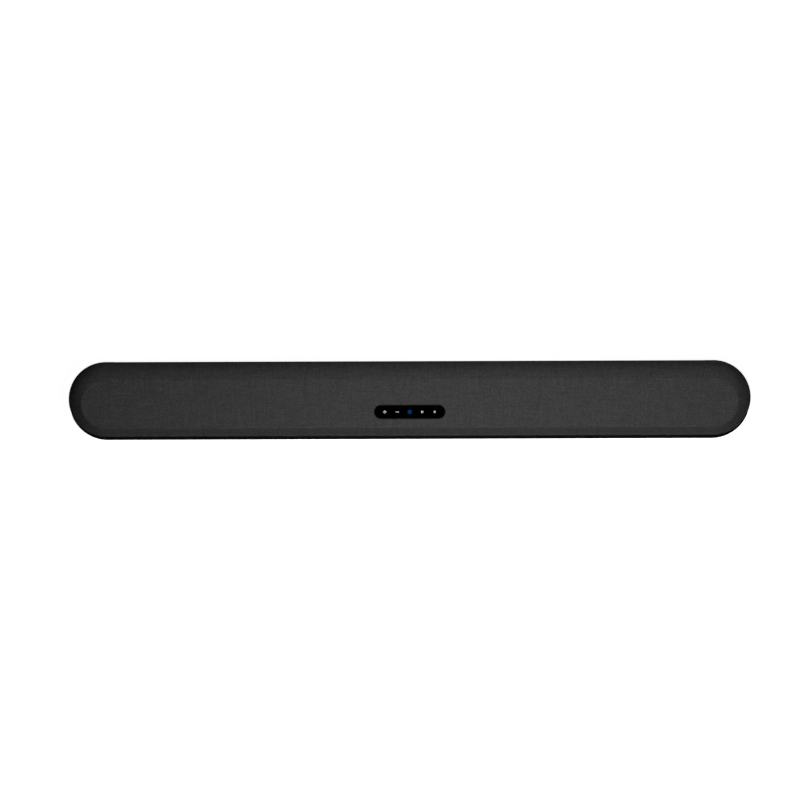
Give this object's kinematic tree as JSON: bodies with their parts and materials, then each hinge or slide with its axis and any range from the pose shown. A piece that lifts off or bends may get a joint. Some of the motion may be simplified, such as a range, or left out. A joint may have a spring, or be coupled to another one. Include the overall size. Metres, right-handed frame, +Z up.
{
  "type": "soundbar",
  "caption": "Low fabric-covered soundbar with rounded ends, a flat top with a glossy touch-control pill, a dark front foot strip and a rear connector bay.",
  "frame": {"origin": "on the floor under the middle of the bar", "axes": "+X along the bar's length, -Y is the front (the side with the foot strip), +Z up"},
  "size_m": [0.98, 0.111, 0.06],
  "materials": {
    "fabric": "dark grey woven speaker cloth",
    "black_plastic": "fine spark-eroded texture",
    "trim_plastic": "satin black",
    "gloss_panel": "piano black",
    "blue_light": "blue light pipe",
    "white_light": "white light pipe",
    "rubber": "matte",
    "paper_cone": "pressed paper",
    "silk_dome": "coated silk",
    "stamped_steel": "zinc plated",
    "ferrite": "matte",
    "circuit_board": "green solder mask",
    "plated_steel": "nickel plated",
    "aluminium": "satin",
    "winding_tape": "amber tape",
    "ribbon": "flat flexible cable"
  },
  "bodies": {
    "cabinet": {"fabric_cover": "fabric", "grille_frame": "black_plastic", "base_tray": "black_plastic", "front_trim": "trim_plastic", "connector_bay": "black_plastic", "front_baffle": "black_plastic", "touch_panel": "gloss_panel", "touch_gasket": "rubber", "touch_board": "circuit_board", "status_light": "blue_light", "dot_light_inner": "white_light", "dot_light_outer": "white_light", "main_board": "circuit_board", "power_board": "circuit_board", "transformer": "winding_tape", "reservoir_capacitor": "aluminium", "heat_sink": "aluminium", "ribbon_cable": "ribbon", "hdmi_port_left": "plated_steel", "hdmi_port_right": "plated_steel", "usb_port": "plated_steel", "optical_port": "black_plastic", "mains_inlet": "black_plastic", "speaker_box_left": "black_plastic", "rear_panel_left": "black_plastic", "keyhole_cup_left": "stamped_steel", "tweeter_housing_left": "black_plastic", "foot_front_left": "rubber", "foot_rear_left": "rubber", "woofer_basket_left_inner": "stamped_steel", "woofer_magnet_left_inner": "ferrite", "woofer_surround_left_inner": "rubber", "woofer_basket_left_outer": "stamped_steel", "woofer_magnet_left_outer": "ferrite", "woofer_surround_left_outer": "rubber", "speaker_box_right": "black_plastic", "rear_panel_right": "black_plastic", "keyhole_cup_right": "stamped_steel", "tweeter_housing_right": "black_plastic", "foot_front_right": "rubber", "foot_rear_right": "rubber", "woofer_basket_right_inner": "stamped_steel", "woofer_magnet_right_inner": "ferrite", "woofer_surround_right_inner": "rubber", "woofer_basket_right_outer": "stamped_steel", "woofer_magnet_right_outer": "ferrite", "woofer_surround_right_outer": "rubber", "base_screw_1": "plated_steel", "base_screw_2": "plated_steel", "base_screw_3": "plated_steel", "base_screw_4": "plated_steel", "base_screw_5": "plated_steel", "base_screw_6": "plated_steel"},
    "tweeter_dome_left": {"tweeter_dome_left": "silk_dome"},
    "woofer_cone_left_inner": {"woofer_cone_left_inner": "paper_cone"},
    "woofer_cone_left_outer": {"woofer_cone_left_outer": "paper_cone"},
    "tweeter_dome_right": {"tweeter_dome_right": "silk_dome"},
    "woofer_cone_right_inner": {"woofer_cone_right_inner": "paper_cone"},
    "woofer_cone_right_outer": {"woofer_cone_right_outer": "paper_cone"}
  },
  "joints": [
    {"name": "tweeter_dome_left_travel", "type": "slide", "parent": "cabinet", "child": "tweeter_dome_left", "axis": [0, -1, 0], "range_m": [-0.0004, 0.0004], "stiffness_N_per_m": 800},
    {"name": "woofer_cone_left_inner_travel", "type": "slide", "parent": "cabinet", "child": "woofer_cone_left_inner", "axis": [0, -1, 0], "range_m": [-0.002, 0.002], "stiffness_N_per_m": 1200},
    {"name": "woofer_cone_left_outer_travel", "type": "slide", "parent": "cabinet", "child": "woofer_cone_left_outer", "axis": [0, -1, 0], "range_m": [-0.002, 0.002], "stiffness_N_per_m": 1200},
    {"name": "tweeter_dome_right_travel", "type": "slide", "parent": "cabinet", "child": "tweeter_dome_right", "axis": [0, -1, 0], "range_m": [-0.0004, 0.0004], "stiffness_N_per_m": 800},
    {"name": "woofer_cone_right_inner_travel", "type": "slide", "parent": "cabinet", "child": "woofer_cone_right_inner", "axis": [0, -1, 0], "range_m": [-0.002, 0.002], "stiffness_N_per_m": 1200},
    {"name": "woofer_cone_right_outer_travel", "type": "slide", "parent": "cabinet", "child": "woofer_cone_right_outer", "axis": [0, -1, 0], "range_m": [-0.002, 0.002], "stiffness_N_per_m": 1200}
  ]
}
